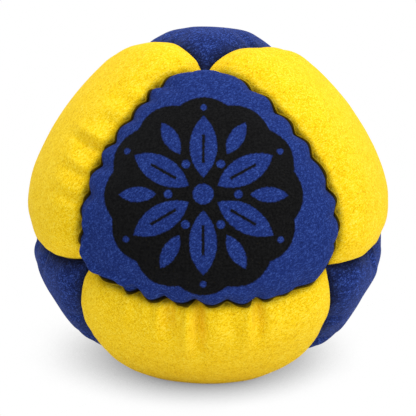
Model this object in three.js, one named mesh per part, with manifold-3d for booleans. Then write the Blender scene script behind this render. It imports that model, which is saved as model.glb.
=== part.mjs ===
// A sewn footbag: eight suede panels, blue and yellow by turns, laid out as the faces of an octahedron.
// Each panel is a crowned shell with its seam allowance turned in. Twelve whip-stitched threads hold the
// allowances together. The packed fill of plastic pellets has settled, so that the bag is no true ball.
// Millimetres, +Z up, resting on z = 0, with the front panel facing -Y.
import * as THREE from "three";
import { mergeGeometries, mergeVertices } from "three/addons/utils/BufferGeometryUtils.js";
import Module from "manifold-3d";

const wasm = await Module();
wasm.setup();

// The bag
const ballRadius = 27.3; // of the yellow panels' round
const restDepth = 1.4; // how far the bag flattens where it rests
const frontTilt = THREE.MathUtils.degToRad(15); // the front panel looks this far up

// The suede panels
const suedeThickness = 0.9;
const panelGap = 0.3; // between two allowances that lie face to face
const creaseDepth = 2.3; // from the round of the ball down to the sewn line
const cornerDimple = 1.6; // extra depth where four corners meet
const dimpleReach = 6; // from a corner to where its dimple ends
const seamAllowance = 3;
const cornerEase = 0.25; // radius of the allowance's corner on the inner face of the suede
const frontShoulder = 3.2; // from the sewn line to the full round of the panel
const blueShoulder = 6.5;
const yellowShoulder = 5.5;
const frontRollPower = 2.2; // above 2, the shoulder rolls over more sharply than a circle
const blueRollPower = 2;
const yellowRollPower = 2.4;
const yellowFullness = 0.15; // how far a yellow panel swells past the blue ones
const bluePucker = 0.12; // height of the gathers that each stitch leaves beside the seam
const yellowPucker = 0.35;
const puckerReach = 3.2; // the gathers fade to a third over this distance
const scallopSwing = 0.36; // how far the sewn line swings to each side

// The sewing
const stitchesPerSeam = 8;
const stitchPull = 0.3; // how far each stitch draws the crease in
const threadDiameter = 0.5;
const threadClearance = 0.3;
const knotDiameter = 1.1;
const needleDepthShare = 0.53; // of the allowance, from the crease down to the needle holes
const wrapShares = [0.25, 0.5, 0.75]; // of a pitch, where the thread turns round the raw edges
const knotShares = [1, 0.5, 0]; // of the knot's diameter, from its tip over its belly to its neck

// The fill
const fillClearance = 0.8; // off the inner face of the suede, its facets included

// How the bag has settled, in shares of the ball's radius: slack upper shoulders under a full crown, over a
// swollen waist and hips, with the heights over or under the ball's middle between which each sets in
const waistSwellShare = 0.012;
const shoulderSlackShare = 0.04;
const slackHeightShares = [0, 0.6];
const crownRiseShare = 0.035;
const crownHeightShares = [0.7, 1];
const hipSwellShare = 0.005;
const hipHeightShares = [0.15, 0.55];
const hipEndShares = [0.75, 0.95];

// Where handling has pulled the seams out of true: a place on the ball, its move there and its reach
const driftShares = {
  topCorner: [[0, -0.41, 0.86], [-0.026, -0.059, -0.031], 0.27],
  topRightSeam: [[0.27, -0.18, 0.9], [0.035, 0, -0.029], 0.26],
  topLeftSeam: [[-0.31, -0.07, 0.9], [-0.012, 0, -0.006], 0.26],
  rightSeam: [[0.5, -0.71, 0.38], [0.04, 0.033, 0.004], 0.35],
  rightSeamLow: [[0.67, -0.67, 0.15], [0.014, 0.012, 0], 0.22],
  leftSeam: [[-0.51, -0.71, 0.38], [-0.027, 0.02, 0.002], 0.35],
  leftSeamHigh: [[-0.28, -0.58, 0.7], [-0.013, 0.022, 0.01], 0.18],
  lowerLeftCorner: [[-0.63, -0.69, -0.18], [0.027, -0.022, 0.037], 0.35],
  lowerRightCorner: [[0.63, -0.69, -0.21], [-0.013, -0.018, 0.029], 0.33],
  bottomSeam: [[-0.03, -0.89, -0.32], [0, -0.005, 0.015], 0.35],
  leftWaist: [[-0.94, -0.11, -0.16], [0.005, 0, -0.066], 0.33],
  rightWaist: [[0.94, -0.11, -0.14], [0, 0, -0.062], 0.33],
  leftHip: [[-0.64, -0.48, -0.57], [-0.005, 0.011, -0.015], 0.29],
  rightHip: [[0.56, -0.51, -0.58], [-0.022, 0.004, -0.019], 0.29],
};

// Rings of a panel's outer face, as distances inwards from the sewn line, and of its lining, as shares
// of the way from the rim to the middle
const lipRing = 0.7;
const shoulderRing = 2.2;
const crownRing = 5.2;
const middleRing = 10.5;
const liningRingShares = [0.6, 0.2];

const pitches = stitchesPerSeam + 1; // spaces along a seam, corner to corner
const pitchAngle = Math.PI / 2 / pitches;
const cornerArcShare = 0.25; // of a pitch, each side of a corner, where the panel's corner is round
const cornerCellShare = 0.5; // of a pitch, each side of a corner, without a stitch
const outerInset = panelGap / 2; // from the seam's plane to the outer face of an allowance
const innerInset = outerInset + suedeThickness;
const restingPlane = restDepth - ballRadius;
const cornerRadius = innerInset + cornerEase;
const seamBlend = 2; // how sharply one seam's shoulder turns into the next at a corner
const threadSides = 4;
const fillSteps = 6; // facets of the fill along a seam
const panelMiddle = new THREE.Vector3(1, 1, 1).normalize();

const blueSuede = {
  shoulder: blueShoulder,
  rollPower: blueRollPower,
  fullness: 0,
  pucker: -bluePucker,
  swing: -1,
};
const frontSuede = { ...blueSuede, shoulder: frontShoulder, rollPower: frontRollPower };
const yellowSuede = {
  shoulder: yellowShoulder,
  rollPower: yellowRollPower,
  fullness: yellowFullness,
  pucker: yellowPucker,
  swing: 1,
};

const { clamp, lerp, smoothstep } = THREE.MathUtils;

// The sewn line. A place along a seam counts pitches from one corner, with the stitches at whole numbers.

function pitchesFromCorner(place) {
  return Math.min(place, pitches - place);
}

// Between two stitches the blue edge bulges towards the yellow one
function scallop(place) {
  const fade = clamp(pitchesFromCorner(place) / cornerCellShare - 1, 0, 1);
  return scallopSwing * fade * (2 * Math.abs(Math.sin(Math.PI * place)) - 1);
}

function dimpleDepth(angleFromCorner) {
  return cornerDimple * (1 - smoothstep(ballRadius * angleFromCorner, 0, dimpleReach));
}

function creaseRadius(place) {
  const fromCorner = pitchesFromCorner(place);
  const pull = stitchPull * Math.cos(Math.PI * place) ** 2 * smoothstep(fromCorner, 0, 1);
  return ballRadius - creaseDepth - dimpleDepth(fromCorner * pitchAngle) - pull;
}

// Every panel is worked out in the octant where x, y and z are positive. Its rim runs along three
// quarter circles, from x to y to z and back, and a place on the rim counts pitches from the x corner.

function alongEdge(rimPlace) {
  const edge = Math.floor(rimPlace / pitches);
  return { edge: edge % 3, place: rimPlace - pitches * edge };
}

// A point beside the sewn line, at a radius from the ball's centre and an inset from the seam's plane
function rimPoint(rimPlace, radius, inset, suede) {
  const { edge, place } = alongEdge(rimPlace);
  const fromCorner = pitchesFromCorner(place);
  const beyondCorner = Math.max(fromCorner, cornerCellShare);
  let along = radius * Math.sin(beyondCorner * pitchAngle);
  let across = inset + suede.swing * scallop(place);
  if (fromCorner < cornerCellShare) {
    const straight = (fromCorner - cornerArcShare) / (cornerCellShare - cornerArcShare);
    const turn = (Math.PI / 4) * clamp(1 - fromCorner / cornerArcShare, 0, 1);
    along = lerp(cornerRadius, along, clamp(straight, 0, 1)) - (cornerRadius - inset) * Math.sin(turn);
    across = cornerRadius - (cornerRadius - inset) * Math.cos(turn);
  }
  const axes = [edge, (edge + 1) % 3, (edge + 2) % 3];
  if (place > pitches / 2) axes.unshift(axes.splice(1, 1)[0]);
  const point = new THREE.Vector3();
  point.setComponent(axes[0], Math.sqrt(radius ** 2 - along ** 2));
  point.setComponent(axes[1], along);
  point.setComponent(axes[2], across);
  return point;
}

// A panel's outer face without its gathers: a pillow that is full in the middle, rolls over its
// shoulders down to the sewn lines, and dips at the corners
function pillowRadius(direction, suede) {
  const slopes = direction.toArray().map((part) => clamp(part, 0, 1));
  const distances = slopes.map((slope) => Math.max(ballRadius * Math.asin(slope), outerInset));
  const nearness = distances.reduce((sum, distance) => sum + distance ** -seamBlend, 0);
  const rise = clamp(nearness ** (-1 / seamBlend) / suede.shoulder, 0, 1);
  const roll = (1 - (1 - rise) ** suede.rollPower) ** (1 / suede.rollPower);
  const dip = slopes.reduce((sum, slope) => sum + dimpleDepth(Math.acos(slope)), 0);
  return ballRadius - creaseDepth + (creaseDepth + suede.fullness) * roll - dip;
}

// The gathers run inwards from the stitches: a yellow fold stands at each stitch, and a blue one
// between two
function gatherHeight(rimPlace, distance, suede) {
  const { place } = alongEdge(rimPlace);
  const fade = clamp(pitchesFromCorner(place) / cornerCellShare - 1, 0, 1);
  return suede.pucker * fade * Math.cos(2 * Math.PI * place) * Math.exp(-distance / puckerReach);
}

function outerPoint(rimPlace, distance, suede) {
  const direction = rimPoint(rimPlace, ballRadius, outerInset, suede).normalize();
  direction.lerp(panelMiddle, distance / ballRadius / direction.angleTo(panelMiddle)).normalize();
  const radius = pillowRadius(direction, suede) + gatherHeight(rimPlace, distance, suede);
  return direction.multiplyScalar(radius);
}

function liningPoint(rimPlace, share, suede) {
  const direction = rimPoint(rimPlace, ballRadius, innerInset, suede).normalize();
  direction.lerp(panelMiddle, share).normalize();
  return direction.multiplyScalar(pillowRadius(direction, suede) - suedeThickness);
}

// Moves a point of the true ball to where it lies in the bag, in the bag's frame
function settle(point) {
  const onBall = point.clone().divideScalar(ballRadius);
  const settled = onBall.clone();
  for (const [placeShares, moveShares, reachShare] of Object.values(driftShares)) {
    const away = onBall.distanceTo(new THREE.Vector3(...placeShares)) / reachShare;
    settled.addScaledVector(new THREE.Vector3(...moveShares), Math.exp(-(away ** 2)));
  }
  const slack = shoulderSlackShare * smoothstep(settled.z, ...slackHeightShares);
  const crown = crownRiseShare * smoothstep(settled.z, ...crownHeightShares);
  const hipEnd = 1 - smoothstep(-settled.z, ...hipEndShares);
  const hips = hipSwellShare * smoothstep(-settled.z, ...hipHeightShares) * hipEnd;
  return settled.multiplyScalar(ballRadius * (1 + waistSwellShare + hips + crown - slack));
}

// A closed skin, laid run by run. Each point remembers how far it lies under the bag's outer face.
class Skin {
  constructor() {
    this.points = [];
    this.depths = [];
    this.faces = [];
  }

  add(point, depth) {
    this.depths.push(depth);
    return this.points.push(point) - 1;
  }

  // Joins two runs that have as many spaces, or twice or half as many
  strip(lower, upper) {
    const spaces = Math.min(lower.length, upper.length) - 1;
    const lowStep = (lower.length - 1) / spaces;
    const highStep = (upper.length - 1) / spaces;
    for (let i = 0; i < spaces; i++) {
      const [a, b, c] = lower.slice(i * lowStep, (i + 1) * lowStep + 1);
      const [d, e, f] = upper.slice(i * highStep, (i + 1) * highStep + 1);
      if (lowStep > 1) this.faces.push([a, b, d], [b, e, d], [b, c, e]);
      else this.faces.push([a, b, e], [a, e, d]);
      if (highStep > 1) this.faces.push([b, f, e]);
    }
  }

  ringStrip(lower, upper) {
    this.strip([...lower, lower[0]], [...upper, upper[0]]);
  }

  // Joins two runs round a hole whose corners are the lowest, the last, the highest and the first
  stripRound(lower, upper, corners) {
    const rim = [...lower, ...upper.toReversed()];
    const spare = (upper.length - lower.length) / 2;
    const ends = [lower.length - 1, lower.length + spare, rim.length - 1 - spare, rim.length];
    let at = 0;
    ends.forEach((end, i) => {
      for (; at < end; at++) this.faces.push([rim[at], rim[(at + 1) % rim.length], corners[i]]);
      this.faces.push([rim[end % rim.length], corners[(i + 1) % 4], corners[i]]);
    });
  }

  cap(ring, point, depth, atEnd) {
    const tip = this.add(point, depth);
    ring.forEach((vertex, i) => {
      const next = ring[(i + 1) % ring.length];
      this.faces.push(atEnd ? [vertex, next, tip] : [next, vertex, tip]);
    });
  }

  // Settles an octant's skin in the bag's frame, what lies under the outer face pressed flat above the
  // resting plane
  settled(toBag) {
    if (toBag.determinant() < 0) this.faces = this.faces.map(([a, b, c]) => [a, c, b]);
    this.points = this.points.map((point, i) => {
      const placed = settle(point.clone().applyMatrix4(toBag));
      if (this.depths[i]) placed.z = Math.max(placed.z, restingPlane + this.depths[i]);
      return placed;
    });
    return this;
  }

  geometry() {
    const geometry = new THREE.BufferGeometry().setFromPoints(this.points);
    geometry.setIndex(this.faces.flat());
    geometry.computeVertexNormals();
    return geometry;
  }
}

// Cuts a piece flat where it would reach below the resting plane
function cutToRest(geometry) {
  geometry.computeBoundingBox();
  if (geometry.boundingBox.min.z >= restingPlane) return geometry;
  const size = 2 * ballRadius;
  const ground = new THREE.BoxGeometry(size, size, size).translate(0, 0, restingPlane - size / 2);
  const [solid, below] = [geometry, ground].map((shape) => {
    const plain = new THREE.BufferGeometry().setIndex(shape.index);
    const merged = mergeVertices(plain.setAttribute("position", shape.getAttribute("position")));
    const triVerts = Uint32Array.from(merged.index.array);
    const vertProperties = merged.getAttribute("position").array;
    return new wasm.Manifold(new wasm.Mesh({ numProp: 3, vertProperties, triVerts }));
  });
  const mesh = solid.subtract(below).getMesh();
  const rested = new THREE.BufferGeometry();
  rested.setAttribute("position", new THREE.BufferAttribute(mesh.vertProperties, 3));
  rested.setIndex(new THREE.BufferAttribute(mesh.triVerts, 1));
  rested.computeVertexNormals();
  return rested;
}

// The panels

function needleRadius(place) {
  return creaseRadius(place) - needleDepthShare * seamAllowance;
}

// The four corners of a needle hole on one face of the allowance, from the lowest round to the first
function needleHole(skin, rimPlace, inset, suede) {
  const reach = (threadDiameter / 2 + threadClearance) * Math.SQRT2;
  const radius = needleRadius(alongEdge(rimPlace).place);
  const swing = reach / radius / pitchAngle;
  const corners = [
    [rimPlace, radius - reach],
    [rimPlace + swing, radius],
    [rimPlace, radius + reach],
    [rimPlace - swing, radius],
  ];
  return corners.map(([place, height]) => skin.add(rimPoint(place, height, inset, suede), 0));
}

// One pitch of the allowance, from half a pitch before a stitch to half a pitch after it
function allowanceCell(skin, rings, rimPlace, suede) {
  const cut = (ring) => {
    const spaces = ring.length / (3 * pitches);
    const first = (rimPlace - cornerCellShare) * spaces + ring.length;
    return Array.from({ length: spaces + 1 }, (_, i) => ring[(first + i) % ring.length]);
  };
  if (rimPlace % pitches === 0) {
    skin.strip(cut(rings.root), cut(rings.rawInside));
    skin.strip(cut(rings.rawOutside), cut(rings.crease));
    return;
  }
  const inner = needleHole(skin, rimPlace, innerInset, suede);
  const outer = needleHole(skin, rimPlace, outerInset, suede);
  skin.stripRound(cut(rings.root), cut(rings.rawInside), [inner[2], inner[1], inner[0], inner[3]]);
  skin.stripRound(cut(rings.rawOutside), cut(rings.crease), outer);
  for (let i = 0; i < 4; i++) {
    const next = (i + 1) % 4;
    skin.faces.push([outer[i], outer[next], inner[next]], [outer[i], inner[next], inner[i]]);
  }
}

function panelGeometry(suede, toBag) {
  const skin = new Skin();
  const ring = (perPitch, depth, pointAt) =>
    Array.from({ length: 3 * pitches * perPitch }, (_, i) => skin.add(pointAt(i / perPitch), depth));
  const crease = (place) => creaseRadius(alongEdge(place).place);
  const lining = liningRingShares.map((share) =>
    ring(1, suedeThickness, (place) => liningPoint(place, share, suede)),
  );
  const rings = {
    root: ring(2, suedeThickness, (place) => liningPoint(place, 0, suede)),
    rawInside: ring(2, 0, (place) => rimPoint(place, crease(place) - seamAllowance, innerInset, suede)),
    rawOutside: ring(2, 0, (place) => rimPoint(place, crease(place) - seamAllowance, outerInset, suede)),
    crease: ring(4, 0, (place) => rimPoint(place, crease(place), outerInset, suede)),
    lip: ring(4, 0, (place) => outerPoint(place, lipRing, suede)),
    shoulder: ring(2, 0, (place) => outerPoint(place, shoulderRing, suede)),
    crown: ring(2, 0, (place) => outerPoint(place, crownRing, suede)),
    middle: ring(1, 0, (place) => outerPoint(place, middleRing, suede)),
  };
  const middleRadius = pillowRadius(panelMiddle, suede);
  const liningMiddle = panelMiddle.clone().multiplyScalar(middleRadius - suedeThickness);
  skin.cap(lining[0], liningMiddle, suedeThickness, false);
  lining.slice(1).forEach((outer, i) => skin.ringStrip(lining[i], outer));
  skin.ringStrip(lining.at(-1), rings.root);
  for (let place = 0; place < 3 * pitches; place++) allowanceCell(skin, rings, place, suede);
  skin.ringStrip(rings.rawInside, rings.rawOutside);
  skin.ringStrip(rings.crease, rings.lip);
  skin.ringStrip(rings.lip, rings.shoulder);
  skin.ringStrip(rings.shoulder, rings.crown);
  skin.ringStrip(rings.crown, rings.middle);
  skin.cap(rings.middle, panelMiddle.clone().multiplyScalar(middleRadius), 0, true);
  return cutToRest(skin.settled(toBag).geometry());
}

// The seam threads

// A whip stitch along the first edge of the octant, settled in the bag's frame, with a knot at each end:
// through both allowances at a pair of needle holes, then round their raw edges to the next pair
function threadRoute(toBag) {
  const side = innerInset + threadClearance + threadDiameter / 2;
  const stop = (place, radius, across, diameter = threadDiameter) => ({
    point: settle(rimPoint(place, radius, across, blueSuede).applyMatrix4(toBag)),
    diameter,
  });
  const below = (place, across) => {
    const drop = seamAllowance + threadClearance + threadDiameter / 2;
    return stop(place, creaseRadius(place) - drop, across);
  };
  const knot = (place, facing) => {
    const across = (share) => facing * (innerInset + threadClearance + share * knotDiameter);
    const [tipShare, bellyShare, neckShare] = knotShares;
    return [
      stop(place, needleRadius(place), across(tipShare), 0),
      stop(place, needleRadius(place), across(bellyShare), knotDiameter),
      stop(place, needleRadius(place), across(neckShare)),
    ];
  };
  const [downShare, underShare, upShare] = wrapShares;
  const loops = Array.from({ length: stitchesPerSeam - 1 }, (_, i) => [
    stop(i + 1, needleRadius(i + 1), -side),
    below(i + 1 + downShare, -side),
    below(i + 1 + underShare, 0),
    below(i + 1 + upShare, side),
    stop(i + 2, needleRadius(i + 2), side),
  ]);
  return [...knot(1, 1), ...loops.flat(), ...knot(stitchesPerSeam, -1).reverse()];
}

// A tube along a route, mitred at its corners
function threadGeometry(route) {
  const skin = new Skin();
  const last = route.length - 1;
  let spoke = new THREE.Vector3(1, 0, 0);
  let before;
  for (let i = 1; i < last; i++) {
    const into = route[i].point.clone().sub(route[i - 1].point).normalize();
    const out = route[i + 1].point.clone().sub(route[i].point).normalize();
    const cut = into.clone().add(out).normalize();
    spoke = spoke.clone().projectOnPlane(into).normalize();
    const offsets = Array.from({ length: threadSides }, (_, side) => {
      const offset = spoke.clone().applyAxisAngle(into, (2 * Math.PI * side) / threadSides);
      offset.multiplyScalar(route[i].diameter / 2);
      return offset.addScaledVector(into, -offset.dot(cut) / into.dot(cut));
    });
    const ring = offsets.map((offset) => skin.add(route[i].point.clone().add(offset), 0));
    if (before) skin.ringStrip(before, ring);
    else skin.cap(ring, route[0].point, 0, false);
    before = ring;
    spoke = offsets[0].projectOnPlane(out).normalize();
  }
  skin.cap(before, route[last].point, 0, true);
  return skin.geometry();
}

// The least gap between stretches of the thread that lie more than half a stitch apart
function leastSelfGap(route) {
  const points = route.map(({ point }) => point);
  const samples = [];
  for (let i = 1; i < points.length; i++) {
    const steps = Math.ceil((4 * points[i].distanceTo(points[i - 1])) / threadDiameter);
    for (let k = 0; k < steps; k++) samples.push(points[i - 1].clone().lerp(points[i], k / steps));
  }
  const travelled = [0];
  samples.slice(1).forEach((sample, i) => travelled.push(travelled[i] + sample.distanceTo(samples[i])));
  const halfStitch = travelled.at(-1) / stitchesPerSeam / 2;
  let least = Infinity;
  samples.forEach((a, i) => {
    samples.slice(i + 1).forEach((b, k) => {
      if (travelled[i + 1 + k] - travelled[i] > halfStitch) least = Math.min(least, a.distanceTo(b));
    });
  });
  return least - threadDiameter;
}

// The fill: one packed body, grooved under the seams to make room for the allowances and threads

function fillOctant(suede, toBag) {
  const skin = new Skin();
  const groove = innerInset + scallopSwing + knotDiameter + 2 * threadClearance;
  const drop = seamAllowance + threadDiameter + 2 * threadClearance;
  const depth = suedeThickness + fillClearance;
  const grooveFloor = (place) => creaseRadius(place) - drop;
  const ring = (inset, radiusAt, lift) =>
    Array.from({ length: 3 * fillSteps }, (_, i) => {
      const { edge, place } = alongEdge((i * pitches) / fillSteps);
      const point = new THREE.Vector3().setComponent(edge, Math.cos(place * pitchAngle));
      point.setComponent((edge + 1) % 3, Math.sin(place * pitchAngle));
      point.multiplyScalar(radiusAt(place)).max(new THREE.Vector3(inset, inset, inset));
      return skin.add(lift(point), depth);
    });
  // Lifts a point to just under the lining, a share of the way towards the panel's middle
  const lifted = (share) => (point) => {
    const direction = point.normalize().lerp(panelMiddle, share).normalize();
    return direction.multiplyScalar(pillowRadius(direction, suede) - depth);
  };
  const kept = (point) => point;
  const full = () => ballRadius - depth;
  const rings = [ring(0, grooveFloor, kept), ring(groove, grooveFloor, kept)];
  [0, ...liningRingShares.toReversed()].forEach((share) => rings.push(ring(groove, full, lifted(share))));
  rings.slice(1).forEach((inner, i) => skin.ringStrip(rings[i], inner));
  skin.cap(rings.at(-1), lifted(1)(panelMiddle.clone()), depth, true);
  const geometry = skin.settled(toBag).geometry();
  geometry.deleteAttribute("normal");
  return geometry;
}

// The bag

// From the ball's centre to the front panel's three corners: top, lower left and lower right
function frontCorners() {
  const spread = Math.acos(Math.sqrt(1 / 3));
  return [90, 210, 330].map((degrees) => {
    const turn = THREE.MathUtils.degToRad(degrees);
    const across = new THREE.Vector3(Math.cos(turn), 0, Math.sin(turn)).multiplyScalar(Math.sin(spread));
    across.y = -Math.cos(spread);
    return across.applyAxisAngle(new THREE.Vector3(1, 0, 0), -frontTilt);
  });
}

// Which side of each pair of opposite corners a panel touches
const panels = {
  front: [1, 1, 1],
  top: [1, -1, -1],
  lower_left: [-1, 1, -1],
  lower_right: [-1, -1, 1],
  left: [1, 1, -1],
  right: [1, -1, 1],
  bottom: [-1, 1, 1],
  back: [-1, -1, -1],
};

// Turns the octant of x, y and z into a panel's own, starting from any of its three edges
function toPanel(signs, edge = 0) {
  const corners = frontCorners().map((corner, i) => corner.multiplyScalar(signs[i]));
  return new THREE.Matrix4().makeBasis(corners[edge], corners[(edge + 1) % 3], corners[(edge + 2) % 3]);
}

function isBlue(signs) {
  return signs[0] * signs[1] * signs[2] > 0;
}

function suedeOf(signs) {
  if (!isBlue(signs)) return yellowSuede;
  return signs === panels.front ? frontSuede : blueSuede;
}

function materials() {
  return {
    blue: new THREE.MeshStandardMaterial({ color: "#26397a", roughness: 0.95, metalness: 0 }),
    yellow: new THREE.MeshStandardMaterial({ color: "#f2cc2a", roughness: 0.95, metalness: 0 }),
    thread: new THREE.MeshStandardMaterial({ color: "#22325f", roughness: 0.7, metalness: 0 }),
    pellets: new THREE.MeshStandardMaterial({ color: "#d8d6cf", roughness: 0.5, metalness: 0 }),
  };
}

function makeBag() {
  const bag = new THREE.Group();
  const finishes = materials();
  const addPiece = (name, geometry, finish) => {
    const piece = new THREE.Mesh(geometry, finish.clone());
    piece.name = name;
    bag.add(piece);
  };
  for (const [place, signs] of Object.entries(panels)) {
    const colour = isBlue(signs) ? "blue" : "yellow";
    addPiece(`panel_${colour}_${place}`, panelGeometry(suedeOf(signs), toPanel(signs)), finishes[colour]);
  }
  const selfGaps = [];
  for (const [place, signs] of Object.entries(panels).filter(([, ownSigns]) => isBlue(ownSigns))) {
    for (let axis = 0; axis < 3; axis++) {
      const across = signs.map((sign, i) => (i === axis ? -sign : sign));
      const neighbour = Object.keys(panels).find((name) => panels[name].every((sign, i) => sign === across[i]));
      const route = threadRoute(toPanel(signs, (axis + 1) % 3));
      selfGaps.push(leastSelfGap(route));
      addPiece(`thread_${place}_to_${neighbour}`, threadGeometry(route), finishes.thread);
    }
  }
  console.log(`the seam threads' least gap to themselves: ${Math.min(...selfGaps).toFixed(2)} mm`);
  const octants = Object.values(panels).map((signs) => fillOctant(suedeOf(signs), toPanel(signs)));
  const fill = mergeVertices(mergeGeometries(octants));
  fill.computeVertexNormals();
  addPiece("pellet_fill", fill, finishes.pellets);
  return bag;
}

// Stands the bag on z = 0, centred over the origin
function stand(bag) {
  const box = new THREE.Box3().setFromObject(bag, true);
  const middle = box.getCenter(new THREE.Vector3());
  bag.position.set(-middle.x, -middle.y, -box.min.z);
  return new THREE.Group().add(bag);
}

export default stand(makeBag());
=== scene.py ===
import math

import bmesh
import bpy
import numpy as np
from mathutils import Matrix, Vector


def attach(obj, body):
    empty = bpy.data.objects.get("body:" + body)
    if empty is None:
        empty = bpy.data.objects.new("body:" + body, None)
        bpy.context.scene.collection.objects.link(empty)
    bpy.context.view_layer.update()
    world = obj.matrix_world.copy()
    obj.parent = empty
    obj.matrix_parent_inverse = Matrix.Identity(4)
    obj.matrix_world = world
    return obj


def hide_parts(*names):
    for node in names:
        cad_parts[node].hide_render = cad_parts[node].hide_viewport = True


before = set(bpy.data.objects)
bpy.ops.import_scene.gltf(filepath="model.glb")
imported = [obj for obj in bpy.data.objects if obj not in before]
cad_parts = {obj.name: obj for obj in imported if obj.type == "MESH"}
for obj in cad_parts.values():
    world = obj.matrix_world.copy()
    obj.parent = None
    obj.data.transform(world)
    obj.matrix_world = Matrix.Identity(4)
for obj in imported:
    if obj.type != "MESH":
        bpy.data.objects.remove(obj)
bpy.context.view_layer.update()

# A sewn footbag of eight napped suede panels. Shapes are worked out in millimetres about the ball's
# centre, in an octant whose axes run to a panel's three corners, and are then placed in the frame in
# metres. A panel's seams are numbered by the corner that they lie across from: on the front panel 0
# is the bottom seam, 1 the right one and 2 the left one.

millimetre = 0.001
tiny = 0.001                 # less than any length or share that matters

bag = {
    "radius": 27.3,          # of the yellow panels' round
    "restDepth": 1.4,        # how far the bag flattens where it rests
    "frontTilt": 15.0,       # degrees that the front panel looks up
    "stitchesPerSeam": 8,
    "creaseDepth": 2.3,      # from the round down to the sewn line
    "cornerDimple": 1.6,     # extra depth where four corners meet
    "dimpleReach": 6.0,      # from the corner
    "seamAllowance": 3.0,
    "thickness": 0.9,        # of the suede
    "outerInset": 0.15,      # from the seam's plane to the outer face of an allowance
    "innerInset": 1.05,      # and to its inner face
    "seamBlend": 2.0,        # how sharply one seam's shoulder turns into the next at a corner
    "stitchPull": 0.3,       # how far each stitch draws the edge in
    "restEase": 0.3,         # the edge of the flat that it rests on is this soft
    "offCentre": (-0.05, -0.10),  # how far the ball's middle stands off the frame's
}

pitches = bag["stitchesPerSeam"] + 1
pitchAngle = math.pi / 2 / pitches
restingPlane = bag["restDepth"] - bag["radius"]

ballCentre = np.array([*bag["offCentre"], -restingPlane])


# Colours, nodes and meshes

def linearColour(hexCode):
    channels = [int(hexCode[i:i + 2], 16) / 255 for i in (1, 3, 5)]
    return [c / 12.92 if c <= 0.04045 else ((c + 0.055) / 1.055) ** 2.4 for c in channels] + [1.0]


def addNode(tree, kind, settings, links=None):  # settings and links are keyed by socket or by property
    node = tree.nodes.new("ShaderNode" + kind)
    for key, value in settings.items():
        if isinstance(key, int) or key in node.inputs.keys():
            node.inputs[key].default_value = value
        else:
            setattr(node, key, value)
    for key, source in (links or {}).items():
        tree.links.new(source, node.inputs[key])
    return node


def addMath(tree, operation, *terms):  # each term is a number or the output of a node
    linked = {index: term for index, term in enumerate(terms) if isinstance(term, bpy.types.NodeSocket)}
    fixed = {index: term for index, term in enumerate(terms) if index not in linked}
    return addNode(tree, "Math", {"operation": operation, **fixed}, linked).outputs[0]


def twoColours(tree, level, colours, stops=(0, 1)):
    ramp = addNode(tree, "ValToRGB", {}, {"Fac": level})
    for element, stop, colour in zip(ramp.color_ramp.elements, stops, colours):
        element.position = stop
        element.color = linearColour(colour)
    return ramp.outputs[0]


def newMaterial(name):
    material = bpy.data.materials.new(name)
    material.use_nodes = True
    material.node_tree.nodes.clear()
    return material, material.node_tree


def perMillimetre(size):  # the noise scale whose cells are this many millimetres wide
    return 1 / (size * millimetre)


def meshFrom(work, name):
    mesh = bpy.data.meshes.new(name)
    work.to_mesh(mesh)
    work.free()
    return mesh


def addObject(name, data):
    made = bpy.data.objects.new(name, data)
    bpy.context.scene.collection.objects.link(made)
    return made


# Suede

suedeNap = {
    "fibreSize": 0.14,       # mm, drawn about ten times the real size so that it shows
    "tuftSize": 0.29,
    "strokeSize": 1.4,       # mm, where a finger has brushed the nap
    "fineShare": 0.6,        # how much finer detail counts in each of these
    "fibreHeight": 0.12,
    "tuftHeight": 0.12,
    "relief": 0.6,           # how strongly the two heights show
    "lay": (0.0, 60.0, 20.0),  # degrees that the way the fibres lie is turned from upright
    "combing": 1.8,          # how much longer than wide the tufts are
}

blueNap = {
    "colours": ("#010722", "#142664", "#4868c8"),  # between the fibres, along them and at their tips
    "shadeAndSoilColour": "#0c0c10",       # painted shade and soil, down in a seam
    "sheen": 0.22,
    "sheenColour": "#8094e4",
    "tufts": 0.8,            # what the tufts and the strokes count beside the fibres
    "strokes": 0.25,
    "spread": 0.48,          # lower for more contrast
}

printedNap = {
    "colours": ("#02092c", "#182c6e", "#4a6ac0"),
    # painted shade and soil by the seams
    "shadeAndSoilColour": "#0c0c10",
    "sheen": 0.04,
    "sheenColour": "#7c90d8",
    "tufts": 0.7,
    "strokes": 0.1,
    "spread": 0.74,
}

yellowNap = {
    "colours": ("#d29e00", "#f8d00a", "#ffe752"),
    # painted shade and soil by the seams, brown like shaded yellow nap
    "shadeAndSoilColour": "#1c0e00",
    "sheen": 0.08,
    "sheenColour": "#fff09a",
    "tufts": 0.6,
    "strokes": 0.28,
    "spread": 0.36,
}


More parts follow.
